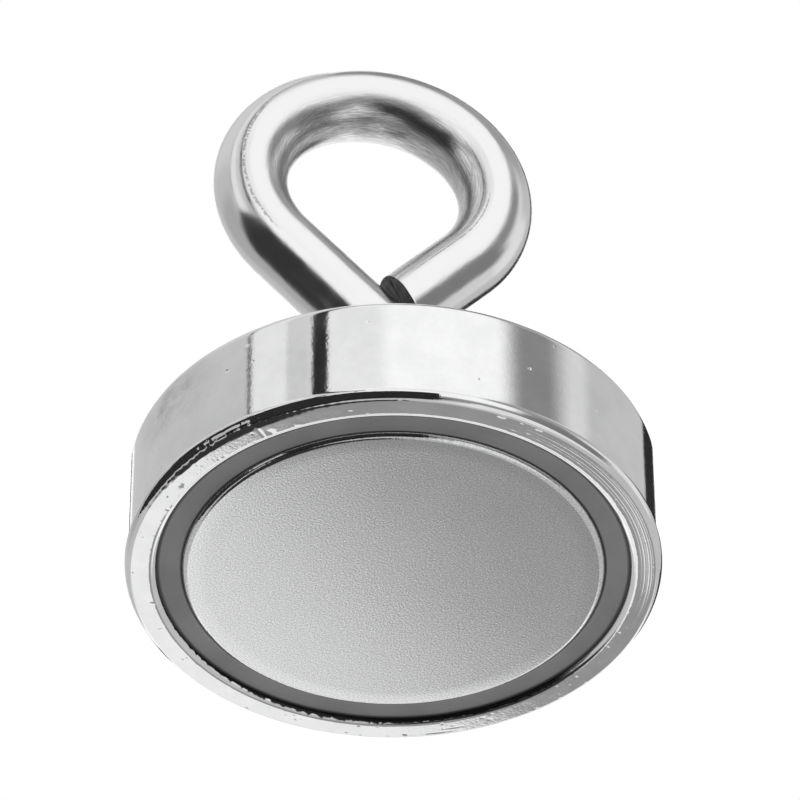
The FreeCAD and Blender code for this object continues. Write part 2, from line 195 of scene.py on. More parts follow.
class Nodes:
    """Builds a material's node tree a line at a time."""

    def __init__(self, name):
        self.material = bpy.data.materials.new(name)
        self.material.use_nodes = True
        self.tree = self.material.node_tree
        self.shader = self.tree.nodes["Principled BSDF"]

    def add(self, kind, settings=None, **inputs):
        """A node with its settings, whose inputs are sockets to link or values."""
        node = self.tree.nodes.new(kind)
        for key, value in (settings or {}).items():
            setattr(node, key, value)
        for key, value in inputs.items():
            socket = node.inputs[int(key[1:])] if key[0] == "_" else node.inputs[key.replace("_", " ")]
            self.join(value, socket)
        return node

    def join(self, value, socket):
        if isinstance(value, bpy.types.NodeSocket):
            self.tree.links.new(value, socket)
        else:
            socket.default_value = value

    def math(self, operation, first, second=0.0, third=0.0):
        return self.add("ShaderNodeMath", {"operation": operation}, _0=first, _1=second, _2=third).outputs[0]

    def position(self):
        return self.add("ShaderNodeTexCoord").outputs["Object"]

    def split(self, vector):
        return self.add("ShaderNodeSeparateXYZ", Vector=vector).outputs

    def noise(self, vector, scale, detail=2.0, roughness=0.5):
        node = self.add("ShaderNodeTexNoise", Vector=vector, Scale=scale, Detail=detail, Roughness=roughness)
        return node.outputs["Fac"]

    def stretch(self, vector, x, y, z):
        node = self.add("ShaderNodeVectorMath", {"operation": "MULTIPLY"}, _0=vector, _1=(x, y, z))
        return node.outputs[0]

    def spread(self, value, low, high, to_low=0.0, to_high=1.0):
        """Maps low..high to to_low..to_high with a smooth step."""
        node = self.add("ShaderNodeMapRange", {"interpolation_type": "SMOOTHSTEP"}, Value=value)
        for socket, number in zip(node.inputs[1:5], (low, high, to_low, to_high)):
            socket.default_value = number
        return node.outputs[0]

    def round_axis(self, vector):
        """Distance from the Z axis, angle about it in turns, and height."""
        x, y, z = self.split(vector)
        squared = self.math("ADD", self.math("MULTIPLY", x, x), self.math("MULTIPLY", y, y))
        angle = self.math("DIVIDE", self.math("ARCTAN2", y, x), TURN)
        return self.math("SQRT", squared), angle, z

    def combine(self, x, y, z):
        return self.add("ShaderNodeCombineXYZ", X=x, Y=y, Z=z).outputs[0]

    def bump(self, height, distance, after=None, strength=1.0):
        node = self.add("ShaderNodeBump", Height=height, Distance=distance, Strength=strength)
        if after is not None:
            self.join(after, node.inputs["Normal"])
        return node.outputs[0]

    def finish(self, **values):
        """Sets the shader's own sockets: colours and numbers directly, and sockets as links."""
        for key, value in values.items():
            self.join(value, self.shader.inputs[key.replace("_", " ")])
        return self.material


def grey(level, warmth=0.0):
    return (level * (1 + warmth), level, level * (1 - warmth), 1.0)


def shade(nodes, factor, dark, light):
    """Mixes two greys by a factor."""
    settings = {"data_type": "RGBA"}
    mix = nodes.add("ShaderNodeMix", settings, _0=factor)
    mix.inputs[6].default_value = dark
    mix.inputs[7].default_value = light
    return mix.outputs[2]


# ---- materials -----------------------------------------------------------------------------------


# where the marks and the painted shade on the pot are: angles in turns from +X, and height on the wall
SMEAR_TURN = -0.432
SMEAR_HEIGHT = 8.6 * MM
BORE_SHADE_TURN = 0.36
BORE_SHADE_WIDEST_TURN = 0.20


def tinted(n, factor, base, tint):
    """A base colour from a socket, turned to a fixed tint by a factor."""
    mix = n.add("ShaderNodeMix", {"data_type": "RGBA"}, _0=factor)
    n.join(base, mix.inputs[6])
    mix.inputs[7].default_value = tint
    return mix.outputs[2]


def facing(n, angle, towards):
    """Cosine of the angle, in turns, from a place round the axis."""
    return n.math("COSINE", n.math("MULTIPLY", n.math("SUBTRACT", angle, towards), TURN))


def polished_nickel():
    """Bright nickel over turned steel: turning lines on the faces, small pits, short rubs, and painted shade
    on one side of the bore.
    """
    n = Nodes("polished_nickel_cup")
    place = n.position()
    radius, angle, height = n.round_axis(place)
    # turning lines run round the axis, and come and go along the turn
    lines = n.combine(n.math("MULTIPLY", radius, 9000.0), n.math("MULTIPLY", height, 9000.0), angle)
    turned = n.noise(n.stretch(lines, 1.0, 1.0, 5.0), 1.0, detail=3.0)
    rub = n.noise(place, 260.0, detail=4.0, roughness=0.65)
    grain = n.noise(place, 5200.0, detail=2.0)
    pits = n.add("ShaderNodeTexVoronoi", {"feature": "F1"}, Vector=place, Scale=620.0).outputs["Distance"]
    pit_sites = n.noise(place, 170.0, detail=1.0)
    pit_depth = n.math("MULTIPLY", n.spread(pits, 0.05, 0.14, 1.0, 0.0), n.spread(pit_sites, 0.55, 0.66))
    peel = n.noise(place, 3400.0, detail=3.0)
    normal = n.bump(turned, 0.0000016)
    normal = n.bump(grain, 0.0000008, normal)
    normal = n.bump(peel, 0.0000024, normal)
    normal = n.bump(rub, 0.000008, normal)
    normal = n.bump(pit_depth, -0.00004, normal)
    rough = n.spread(rub, 0.3, 0.75, 0.04, 0.08)
    # a dull smear on the wall, wiped along it
    turned_to = n.math("ABSOLUTE", n.math("SUBTRACT", angle, SMEAR_TURN))
    wiped = n.noise(n.stretch(place, 350.0, 350.0, 500.0), 1.0, detail=5.0, roughness=0.75)
    from_smear = n.math("ABSOLUTE", n.math("SUBTRACT", height, SMEAR_HEIGHT))
    in_height = n.spread(from_smear, 0.0, 4.5 * MM, 1.0, 0.0)
    smear = n.math("MULTIPLY", n.spread(turned_to, 0.0, 0.045, 1.0, 0.0), in_height)
    smear = n.math("MULTIPLY", smear, n.spread(wiped, 0.3, 0.75))
    smear = n.math("MULTIPLY", smear, n.spread(radius, CUP_R - 1.2 * MM, CUP_R - 0.4 * MM))
    bright = shade(n, n.spread(rub, 0.35, 0.7), grey(0.73, -0.003), grey(0.79, -0.002))
    smeared = tinted(n, smear, bright, grey(0.38))
    # painted shade: one side of the bore's wall is painted near black, with a ragged edge, reaching furthest
    # towards the mouth at one angle
    in_bore = n.spread(radius, MOUTH_R + 0.02 * MM, MOUTH_R + 0.06 * MM, 1.0, 0.0)
    in_bore = n.math("MULTIPLY", in_bore, n.spread(height, 1.0 * MM, 1.2 * MM, 1.0, 0.0))
    shade_ragged = n.math("MULTIPLY", n.noise(place, 1700.0, detail=3.0), 0.34 * MM)
    shade_narrower = n.spread(facing(n, angle, BORE_SHADE_WIDEST_TURN), 0.3, 0.95, -0.20 * MM, 0.0)
    up_bore = n.spread(n.math("ADD", height, n.math("ADD", shade_ragged, shade_narrower)), 0.22 * MM, 0.29 * MM)
    on_side = n.spread(facing(n, angle, BORE_SHADE_TURN), -0.3, -0.05)
    painted_bore_shade = n.math("MULTIPLY", n.math("MULTIPLY", up_bore, in_bore), on_side)
    # the painted shade turns the bore wall near black and a little rougher
    colour = tinted(n, painted_bore_shade, smeared, grey(0.03))
    rough = n.math("ADD", rough, n.math("MULTIPLY", painted_bore_shade, 0.35))
    return n.finish(Base_Color=colour, Metallic=1.0, Roughness=rough, Normal=normal)


def satin_nickel():
    """Nickel over a sintered magnet: a fine even grain, brighter where the edge is rubbed."""
    n = Nodes("satin_nickel_magnet")
    place = n.position()
    grain = n.noise(place, 12000.0, detail=2.0, roughness=0.6)
    coarse = n.noise(place, 4600.0, detail=2.0)
    patches = n.noise(place, 90.0, detail=3.0)
    normal = n.bump(coarse, 0.0000052)
    normal = n.bump(grain, 0.0000018, normal)
    radius, _, _ = n.round_axis(place)
    edge = n.spread(radius, MAGNET_R - 0.75 * MM, MAGNET_R - 0.35 * MM)
    rough = n.math("SUBTRACT", n.spread(patches, 0.3, 0.7, 0.12, 0.14), n.math("MULTIPLY", edge, 0.07))
    speckle = n.noise(place, 7000.0, detail=1.0)
    colour = shade(n, n.spread(speckle, 0.28, 0.72), grey(0.575, -0.004), grey(0.775, -0.004))
    return n.finish(Base_Color=colour, Metallic=1.0, Roughness=rough, Normal=normal)


def potting_resin():
    """Cast grey epoxy: smooth, with a little dust and a faint flow pattern, and painted shade at both walls.
    """
    n = Nodes("potting_resin")
    place = n.position()
    flow = n.noise(place, 140.0, detail=3.0)
    fine = n.noise(place, 1500.0, detail=2.0)
    normal = n.bump(flow, 0.00003)
    normal = n.bump(fine, 0.000004, normal)
    radius, _, _ = n.round_axis(place)
    tone = shade(n, n.spread(flow, 0.3, 0.7), grey(0.135), grey(0.165))
    # painted shade: the resin is darkened in the corners at the bore and at the magnet, where shadow falls
    at_bore = n.spread(radius, BORE_R - 0.42 * MM, BORE_R - 0.12 * MM)
    at_magnet = n.spread(radius, MAGNET_R + 0.06 * MM, MAGNET_R + 0.22 * MM, 1.0, 0.0)
    colour = tinted(n, n.math("MAXIMUM", at_bore, at_magnet), tone, grey(0.012))
    rough = n.spread(fine, 0.3, 0.7, 0.38, 0.46)
    return n.finish(Base_Color=colour, Roughness=rough, Normal=normal)


def cured_glue():
    """Slightly yellow glue with a faint flow pattern."""
    n = Nodes("cured_glue")
    place = n.position()
    flow = n.noise(place, 400.0, detail=3.0)
    colour = shade(n, flow, grey(0.42, 0.08), grey(0.56, 0.06))
    return n.finish(Base_Color=colour, Roughness=0.5, Normal=n.bump(flow, 0.00002))


# lines scored along the bar, and a painted reflection of a dark edge: place round it in turns from the eye's
# inner side, half width in turns, first and last distance back from the cropped end in millimetres, and how
# ragged
SCORED_LINES_AND_PAINTED_EDGE = (
    (0.830, 0.006, 24, 0.5, 0.2),
    (0.800, 0.006, 17, 0.5, 0.2),
    # painted reflection: a ragged dark line along the eye's outer left, where a dark edge would be reflected
    (0.698, 0.009, 64, 46, 1.0),
)


def plated_rod():
    """Bright plated bar with drawing lines: UV u is in turns round it, and v in millimetres along it."""
    n = Nodes("plated_rod")
    uv = n.add("ShaderNodeUVMap", {"uv_map": "UVMap"}).outputs[0]
    around, along, _ = n.split(uv)
    inwards = n.math("COSINE", n.math("MULTIPLY", around, TURN))
    turn_x = n.math("MULTIPLY", inwards, 9.0)
    turn_y = n.math("MULTIPLY", n.math("SINE", n.math("MULTIPLY", around, TURN)), 9.0)
    drawn = n.noise(n.combine(turn_x, turn_y, n.math("MULTIPLY", along, 0.8)), 1.0, detail=3.0)
    place = n.position()
    skin = n.noise(place, 420.0, detail=3.0, roughness=0.55)
    grain = n.noise(place, 3800.0, detail=2.0)
    # the eye's inner side is rubbed and streaked, its outer side is smooth
    inner = n.spread(inwards, 0.15, 0.85)
    fine_x, fine_y = n.math("MULTIPLY", turn_x, 5.0), n.math("MULTIPLY", turn_y, 5.0)
    fine = n.combine(fine_x, fine_y, n.math("MULTIPLY", along, 0.5))
    streaks = n.noise(fine, 1.0, detail=4.0, roughness=0.7)
    streaked = n.math("MULTIPLY", streaks, n.math("ADD", n.math("MULTIPLY", inner, 0.85), 0.15))
    normal = n.bump(drawn, 0.000008)
    normal = n.bump(streaked, 0.000011, normal)
    normal = n.bump(skin, 0.000008, normal)
    normal = n.bump(grain, 0.0000012, normal)
    rough = n.math("ADD", n.spread(skin, 0.3, 0.7, 0.15, 0.20), n.math("MULTIPLY", inner, 0.06))
    dull = n.math("MULTIPLY", n.spread(streaks, 0.36, 0.62), inner)
    # lines scored by drawing and bending, and the painted reflection of a dark edge, broken here and there
    ends, _ = rod_path()
    bar_length = ends[4] / MM
    broken = n.noise(n.combine(turn_x, turn_y, n.math("MULTIPLY", along, 4.0)), 1.0, detail=3.0)
    wander = n.math("MULTIPLY", n.math("SUBTRACT", broken, 0.5), 0.02)
    for at, half_width, first, last, ragged in SCORED_LINES_AND_PAINTED_EDGE:
        off_line = n.math("ADD", n.math("SUBTRACT", around, at), n.math("MULTIPLY", wander, ragged))
        line = n.spread(n.math("ABSOLUTE", off_line), 0.0, half_width, 1.0, 0.0)
        half_span = (first - last) / 2
        from_middle = n.math("ABSOLUTE", n.math("SUBTRACT", along, bar_length - (first + last) / 2))
        line = n.math("MULTIPLY", line, n.spread(from_middle, half_span - 3, half_span, 1.0, 0.0))
        line = n.math("MULTIPLY", line, n.spread(broken, 0.35, 0.5))
        dull = n.math("MAXIMUM", dull, n.math("MULTIPLY", line, 1.5))
    colour = shade(n, dull, grey(0.75), grey(0.42))
    return n.finish(Base_Color=colour, Metallic=1.0, Roughness=rough, Normal=normal)


def cropped_steel():
    """The torn, dull end of the bar."""
    n = Nodes("cropped_steel")
    place = n.position()
    torn = n.noise(n.stretch(place, 1.0, 0.35, 1.0), 1600.0, detail=4.0, roughness=0.7)
    colour = shade(n, n.spread(torn, 0.3, 0.7), grey(0.10), grey(0.20))
    normal = n.bump(torn, 0.00005)
    return n.finish(Base_Color=colour, Metallic=0.8, Roughness=0.55, Normal=normal)


def zinc_fastener(name, lines_scale):
    """Bright zinc plating over a rolled or pressed fastener."""
    n = Nodes(name)
    place = n.position()
    radius, angle, height = n.round_axis(place)
    across, up = n.math("MULTIPLY", radius, lines_scale), n.math("MULTIPLY", height, lines_scale)
    lines = n.combine(across, up, angle)
    turned = n.noise(n.stretch(lines, 1.0, 1.0, 6.0), 1.0, detail=3.0)
    skin = n.noise(place, 700.0, detail=3.0)
    normal = n.bump(turned, 0.000004)
    normal = n.bump(skin, 0.00002, normal)
    colour = shade(n, n.spread(skin, 0.3, 0.7), grey(0.60, -0.01), grey(0.70, -0.008))
    rough = n.spread(skin, 0.3, 0.7, 0.2, 0.32)
    return n.finish(Base_Color=colour, Metallic=1.0, Roughness=rough, Normal=normal)


# ---- the pot -------------------------------------------------------------------------------------


def thread_fall(z, angle):
    """How far a right-hand thread's surface is below its crest, from 0 to 1, at a height and an angle."""
    phase = (z / PITCH - angle / TURN) % 1.0
    from_crest = np.abs(phase - 0.5) * 2  # 1 at the crest's middle, 0 at the root's
    crest_half, root_half = 0.125, 0.167
    return 1 - smooth(from_crest, root_half * 0.6, 1 - crest_half * 0.6)


def bolt_thread_r(z, angle):
    return CREST_R - THREAD_DEPTH * thread_fall(z, angle)


def hole_thread_r(z, angle):
    return np.maximum(bolt_thread_r(z, angle) + THREAD_GAP, NUT_CREST_R)


# marks on the cup: angle in degrees, r and z of the middle, half width round the cup, half width along the
# surface, and how deep (a raised burr is negative), in millimetres
CUP_MARKS = (
    (229.5, 22.8, 0.0, 0.07, 0.8, 0.03),
    (231.5, 22.2, 0.0, 0.25, 0.25, 0.03),
    (205.0, 22.3, 0.0, 0.55, 0.22, 0.02),
    (284.0, 23.45, 0.0, 0.28, 0.14, -0.04),
    (293.0, 23.45, 0.0, 0.20, 0.12, -0.04),
    (262.0, 23.45, 0.0, 0.25, 0.14, 0.03),
    (160.0, 22.1, 0.0, 0.12, 0.5, -0.03),
    (151.0, 22.3, 0.0, 0.10, 0.5, 0.02),
    (232.0, 23.95, 0.9, 0.10, 0.25, 0.04),
    (222.0, 23.98, 1.0, 0.08, 0.30, 0.04),
    (70.0, 23.2, 0.0, 0.9, 0.10, 0.012),
    (66.0, 22.8, 0.0, 0.7, 0.10, 0.010),
)
NICKS = 150

# turning grooves on the rim, deepest at one angle: radius, half width and depth in millimetres, and spread
# in degrees
GROOVES_AT = 338
GROOVES = (
    (22.22, 0.035, 0.010, 40),
    (22.48, 0.050, 0.016, 34),
    (22.70, 0.040, 0.012, 30),
    (22.86, 0.060, 0.016, 38),
    (23.10, 0.045, 0.012, 34),
    (23.27, 0.040, 0.008, 30),
)

# the knocked stretch of the lip, in degrees
KNOCK_AT = 224
KNOCK_SPREAD = 26
KNOCK_DEPTH = 0.24 * MM


def small_nicks():
    """Random small nicks, most of them along the rim's two edges."""
    random = np.random.default_rng(11)
    nicks = []
    for _ in range(NICKS):
        turn = random.uniform(0, 360)
        place = random.choice((21.98, 22.1, 23.3, 23.5, random.uniform(22.2, 23.2)))
        width, length = random.uniform(0.05, 0.16), random.uniform(0.05, 0.2)
        nicks.append((turn, place, 0.0, width, length, random.uniform(-0.012, 0.02)))
    for _ in range(NICKS // 3):
        turn, height = random.uniform(180, 360), random.uniform(0.9, 10.5)
        nicks.append((turn, 24.0, height, random.uniform(0.05, 0.1), random.uniform(0.05, 0.1), 0.008))
    return nicks


def cup_shape(r, z, angle):
    """Cuts the thread in the hole, makes the mouth ragged, and puts in the marks of use."""
    on_rim = (r > MOUTH_R + 0.05 * MM) & (r < CUP_R - RIM_ROUND) & (z < 0.01 * MM)
    from_deepest = (angle - GROOVES_AT * DEGREE + math.pi) % TURN - math.pi
    for groove_r, half_width, depth, spread in GROOVES:
        strength = np.exp(-((from_deepest / (spread * DEGREE)) ** 2))
        strength = strength * (0.8 + 0.5 * ring_noise(angle, 14, groove_r))
        z = z + on_rim * depth * MM * strength * np.exp(-(((r / MM - groove_r) / half_width) ** 2))

    # the lip is rolled over and ragged on the side that was knocked
    knocked = np.exp(-(((angle - KNOCK_AT * DEGREE) / (KNOCK_SPREAD * DEGREE)) ** 2))
    knocked = knocked * (0.8 + 0.3 * ring_noise(angle, 60, 21.0) + 0.3 * ring_noise(angle, 260, 23.0))
    on_lip = smooth(r, CUP_R - RIM_ROUND - 0.42 * MM, CUP_R) * (z < LIP_HEIGHT)
    z = z + KNOCK_DEPTH * knocked * on_lip

    on_height = (z > CAVITY_TOP - NEAR) & (z < CUP_TOP - HOLE_SINK + NEAR)
    in_hole = (np.abs(r - HOLE_R) < NEAR) & on_height
    r = np.where(in_hole, hole_thread_r(z, angle), r)

    ragged = 0.05 * MM * ring_noise(angle, 110, 3.0) + 0.03 * MM * ring_noise(angle, 360, 5.0)
    near_mouth = np.exp(-(((r - MOUTH_R) / (0.2 * MM)) ** 2)) * (z < MOUTH_ROUND)
    r = r + ragged * near_mouth
    wave = 0.012 * MM * ring_noise(angle, 24, 9.0)
    on_wall = smooth(r, CUP_R - 0.3 * MM, CUP_R)
    r = r + wave * on_wall

    # each mark pushes the surface along its own normal
    row_r, row_z = r.mean(axis=1), z.mean(axis=1)
    along_r = np.roll(row_r, -1) - np.roll(row_r, 1)
    along_z = np.roll(row_z, -1) - np.roll(row_z, 1)
    length = np.hypot(along_r, along_z)
    normal_r, normal_z = (along_z / length)[:, None], (-along_r / length)[:, None]
    for mark_angle, mark_r, mark_z, around, along, depth in (*CUP_MARKS, *small_nicks()):
        turn_off = (angle - mark_angle * DEGREE + math.pi) % TURN - math.pi
        across = turn_off * r / (around * MM)
        down = np.hypot(r - mark_r * MM, z - mark_z * MM) / (along * MM)
        push = depth * MM * np.exp(-(across**2) - down**2)
        r = r - push * normal_r
        z = z - push * normal_z
    return r, z


def make_cup(material):
    """The pot, turned from its section: rim, wall, back, tapped hole, cavity and bore."""
    rim_r = CUP_R - RIM_ROUND
    back_r = CUP_R - BACK_ROUND
    sink_r = HOLE_R + HOLE_SINK
    lip = oval_arc(rim_r, RIM_ROUND + LIP_FLARE, LIP_HEIGHT, -90, 0, 22)
    mouth = oval_arc(MOUTH_R, MOUTH_R - BORE_R, MOUTH_ROUND, 180, 270, 10)[:-1]
    profile = [
        *run((MOUTH_R, 0), (rim_r, 0), 44),
        *lip,
        *run((CUP_R, LIP_HEIGHT + 0.25 * MM), (CUP_R, CUP_TOP - BACK_ROUND), 40),
        *arc(back_r, CUP_TOP - BACK_ROUND, BACK_ROUND, 0, 90, 12),
        *run((back_r, CUP_TOP), (sink_r, CUP_TOP), 24)[1:],
        *run((sink_r, CUP_TOP), (HOLE_R, CUP_TOP - HOLE_SINK), 4),
        *run((HOLE_R, CUP_TOP - HOLE_SINK), (HOLE_R, CAVITY_TOP), 60),
        *run((HOLE_R, CAVITY_TOP), (BORE_R, CAVITY_TOP), 8),
        *run((BORE_R, CAVITY_TOP), (BORE_R, MOUTH_ROUND), 12),
        *mouth,
    ]
    cup = lathe("cup", profile, 960, material, shape=cup_shape, sharp_angle=40 * DEGREE)
    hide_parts("steel_cup")
    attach(cup, "magnet_body")


def magnet_shape(r, z, angle):
    """Leaves the face's edge a little uneven, as plating over a ground edge is."""
    near_edge = smooth(r, MAGNET_R - 1.0 * MM, MAGNET_R - 0.5 * MM) * (z < MAGNET_ROUND)
    uneven = 0.03 * MM * ring_noise(angle, 90, 14.0) + 0.02 * MM * ring_noise(angle, 300, 17.0)
    return r - np.abs(uneven) * near_edge, z


def make_magnet(material):
    """The disc, round at both edges."""
    flat_r = MAGNET_R - MAGNET_ROUND
    profile = [
        *run((0.5 * MM, 0), (flat_r, 0), 12),
        *arc(flat_r, MAGNET_ROUND, MAGNET_ROUND, -90, 0, 12),
        *run((MAGNET_R, MAGNET_ROUND), (MAGNET_R, MAGNET_TOP - MAGNET_ROUND), 4)[1:],
        *arc(flat_r, MAGNET_TOP - MAGNET_ROUND, MAGNET_ROUND, 0, 90, 6),
        (0.5 * MM, MAGNET_TOP),
    ]
    magnet = lathe("magnet", profile, 720, material, shape=magnet_shape, solid_disc=True)
    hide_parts("magnet_disc")
    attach(magnet, "magnet_body")


def make_resin(material):
    """The resin is poured, so its surface creeps up a little at both walls."""
    creep, width = 0.12 * MM, 0.35 * MM
    across = np.linspace(MAGNET_R, BORE_R, 22)
    edge = np.minimum(across - MAGNET_R, BORE_R - across)
    level = RESIN_LEVEL - creep * np.exp(-((edge / width) ** 2)) + creep * 0.2
    surface = list(zip(across, level))
    profile = [
        *surface[:-1],
        *run(surface[-1], (BORE_R, CAVITY_TOP), 4),
        *run((BORE_R, CAVITY_TOP), (MAGNET_R, CAVITY_TOP), 2),
        *run((MAGNET_R, CAVITY_TOP), surface[0], 4),
    ]

    def uneven(r, z, angle):
        on_top = z < RESIN_LEVEL + creep
        return r, z + 0.02 * MM * ring_noise(angle, 30, 21.0) * on_top

    resin = lathe("resin", profile, 480, material, shape=uneven, sharp_angle=50 * DEGREE)
    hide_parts("resin_ring")
    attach(resin, "magnet_body")


# ---- fasteners -----------------------------------------------------------------------------------


def make_washer(material):
    """A pressed washer: rolled over on its upper side, with a small burr below."""
    hole = 4.2 * MM
    outer = WASHER_HIGH.x
    low, high = WASHER_LOW.z, WASHER_HIGH.z
    soft, crisp = 0.28 * MM, 0.1 * MM
    profile = [
        *run((hole + crisp, low), (outer - crisp, low), 6),
        *arc(outer - crisp, low + crisp, crisp, -90, 0, 4),
        *arc(outer - soft, high - soft, soft, 0, 90, 8),
        *run((outer - soft, high), (hole + soft, high), 8)[1:],
        *arc(hole + soft, high - soft, soft, 90, 180, 8),
        *arc(hole + crisp, low + crisp, crisp, 180, 270, 4),
    ][:-1]

    def pressed(r, z, angle):
        burr = 0.02 * MM * ring_noise(angle, 60, 31.0)
        return r + burr * (r > outer - 0.05 * MM), z

    washer = lathe("washer", profile, 240, material, shape=pressed, sharp_angle=40 * DEGREE)
    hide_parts("flat_washer")
    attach(washer, "flat_washer")


def make_spring_washer(material):
    """A split ring of square wire, pressed flat, whose slanted ends face -Y."""
    inner, outer = 4.15 * MM, SPRING_HIGH.x
    low, high = SPRING_LOW.z, SPRING_HIGH.z
    soft, half_gap, slant = 0.18 * MM, 0.45 * MM, 25 * DEGREE
    middle_r, middle_z = (inner + outer) / 2, (low + high) / 2
    section = [
        *arc(outer - soft, low + soft, soft, -90, 0, 5),
        *arc(outer - soft, high - soft, soft, 0, 90, 5),
        *arc(inner + soft, high - soft, soft, 90, 180, 5),
        *arc(inner + soft, low + soft, soft, 180, 270, 5),
    ]
    steps, front = 120, -math.pi / 2
    points = []
    for i in range(steps + 1):
        share = i / steps
        for r, z in section:
            lean = (middle_z - z) * math.tan(slant) / middle_r
            start = front + lean + half_gap / middle_r
            end = front + lean - half_gap / middle_r + TURN
            angle = start + (end - start) * share
            points.append((r * math.cos(angle), r * math.sin(angle), z))
    count = len(section)
    faces = grid_faces(steps + 1, count, closed_rows=False)
    faces.append(tuple(range(count)))
    faces.append(tuple(range(steps * count, (steps + 1) * count))[::-1])
    ring = add_piece("split_washer", points, [f[::-1] for f in faces], material, sharp_angle=40 * DEGREE)
    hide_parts("spring_washer")
    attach(ring, "spring_washer")


def make_nut(material):
    """A hexagon nut: each side is the lower of the flats and the two cones that its faces are turned to."""
    half_flats = NUT_HIGH.y
    low, high = NUT_LOW.z, NUT_HIGH.z
    slope = math.tan(30 * DEGREE)
    blend = 0.10 * MM
    corner_r = half_flats / math.cos(30 * DEGREE)
    bore_low, bore_high = low + NUT_SINK, high - NUT_SINK
    edge_rows = 16
    cone_height = (corner_r - NUT_FACE_R) * slope
    profile = [
        *run((HOLE_R + 0.5 * MM, low), (NUT_FACE_R, low), 6),
        *run((corner_r, low), (corner_r, low + 1.3 * cone_height), edge_rows),
        *run((corner_r, low + 1.3 * cone_height), (corner_r, high - 1.3 * cone_height), 8),
        *run((corner_r, high - 1.3 * cone_height), (corner_r, high), edge_rows),
        (corner_r, high),
        *run((NUT_FACE_R, high), (HOLE_R + 0.5 * MM, high), 6),
        *run((HOLE_R + 0.5 * MM, high), (HOLE_R, bore_high), 4),
        *run((HOLE_R, bore_high), (HOLE_R, bore_low), 90),
        *run((HOLE_R, bore_low), (HOLE_R + 0.5 * MM, low), 4),
    ]

    def lower_of(first, second):
        """The lower of two radii, rounded where they meet."""
        mix = np.clip(0.5 + (second - first) / (2 * blend), 0, 1)
        return second * (1 - mix) + first * mix - blend * mix * (1 - mix)

    def hexagon(r, z, angle):
        from_flat = (angle + 30 * DEGREE - 90 * DEGREE) % (60 * DEGREE) - 30 * DEGREE
        flat_r = half_flats / np.cos(from_flat)
        edge_soft = 0.12 * MM * np.exp(-((np.abs(from_flat) - 30 * DEGREE) ** 2) / (1.2 * DEGREE) ** 2)
        cone_r = NUT_FACE_R + np.minimum(z - low, high - z) / slope
        side = np.abs(r - corner_r) < NEAR
        r = np.where(side, lower_of(flat_r - edge_soft, cone_r), r)
        in_bore = (np.abs(r - HOLE_R) < NEAR) & (z > bore_low - NEAR) & (z < bore_high + NEAR)
        return np.where(in_bore, hole_thread_r(z, angle), r), z

    nut = lathe("nut", profile, 360, material, shape=hexagon, sharp_angle=35 * DEGREE)
    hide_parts("lock_nut")
    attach(nut, "lock_nut")


# ---- the bent rod --------------------------------------------------------------------------------


def rod_path():
    """Where the rod's five runs end, from its threaded end, and a function that places a point on them."""
    left_x, left_z = EYE_X - EYE_R * math.cos(LEG_ANGLE), EYE_Z - EYE_R * math.sin(LEG_ANGLE)
    corner_z = left_z + left_x / math.tan(LEG_ANGLE)
    set_back = NECK_BEND_R * math.tan(LEG_ANGLE / 2)
    bend_z = corner_z - set_back
    leg = math.hypot(left_x, left_z - corner_z) - set_back
    eye_turn = math.pi + 2 * LEG_ANGLE
    lengths = (bend_z - BOLT_LOW.z, NECK_BEND_R * LEG_ANGLE, leg, EYE_R * eye_turn, TIP_LENGTH)
    ends = np.cumsum(lengths)

    def place(distance):
        """(x, z, heading) of the centreline; heading is measured from +Z towards -X."""
        if distance <= ends[0]:
            return 0.0, BOLT_LOW.z + distance, 0.0
        if distance <= ends[1]:
            heading = (distance - ends[0]) / NECK_BEND_R
            x = NECK_BEND_R * (math.cos(heading) - 1)
            return x, bend_z + NECK_BEND_R * math.sin(heading), heading
        if distance <= ends[2]:
            back = ends[2] - distance
            return left_x + back * math.sin(LEG_ANGLE), left_z - back * math.cos(LEG_ANGLE), LEG_ANGLE
        heading = LEG_ANGLE - (min(distance, ends[3]) - ends[2]) / EYE_R
        x, z = EYE_X - EYE_R * math.cos(heading), EYE_Z - EYE_R * math.sin(heading)
        past = max(0.0, distance - ends[3])
        return x - past * math.sin(heading), z + past * math.cos(heading), heading

    return ends, place


def rod_rings(ends):
    """Distances along the rod for its rings: close on the thread, wider on the bar and close at the tip."""
    thread_length = THREAD_END - BOLT_LOW.z
    on_thread = np.arange(0, thread_length + 0.4 * MM, PITCH / 20)
    on_bar = np.arange(on_thread[-1] + 0.3 * MM, ends[4] - 2.5 * MM, 0.3 * MM)
    on_tip = np.linspace(ends[4] - 2.5 * MM, ends[4] - TIP_EDGE, 16)
    return np.concatenate([on_thread, on_bar, on_tip])


def rod_radius(distance, z, angle):
    """The bar's radius round one ring: thread, chamfer and run-out, and a skin that is not quite round."""
    thread_length = THREAD_END - BOLT_LOW.z
    level = distance / (4 * MM)
    uneven = [noise.noise(Vector((3.0 * math.cos(a), 3.0 * math.sin(a), level))) for a in angle]
    bar = ROD_R + 0.012 * MM * np.array(uneven)
    if distance > thread_length + 0.4 * MM:
        return bar
    fade = smooth(distance, thread_length - 1.2 * MM, thread_length + 0.2 * MM)
    thread = bolt_thread_r(z, angle) * (1 - fade) + bar * fade
    cone = CREST_R - END_CHAMFER + distance
    return np.minimum(thread, cone)


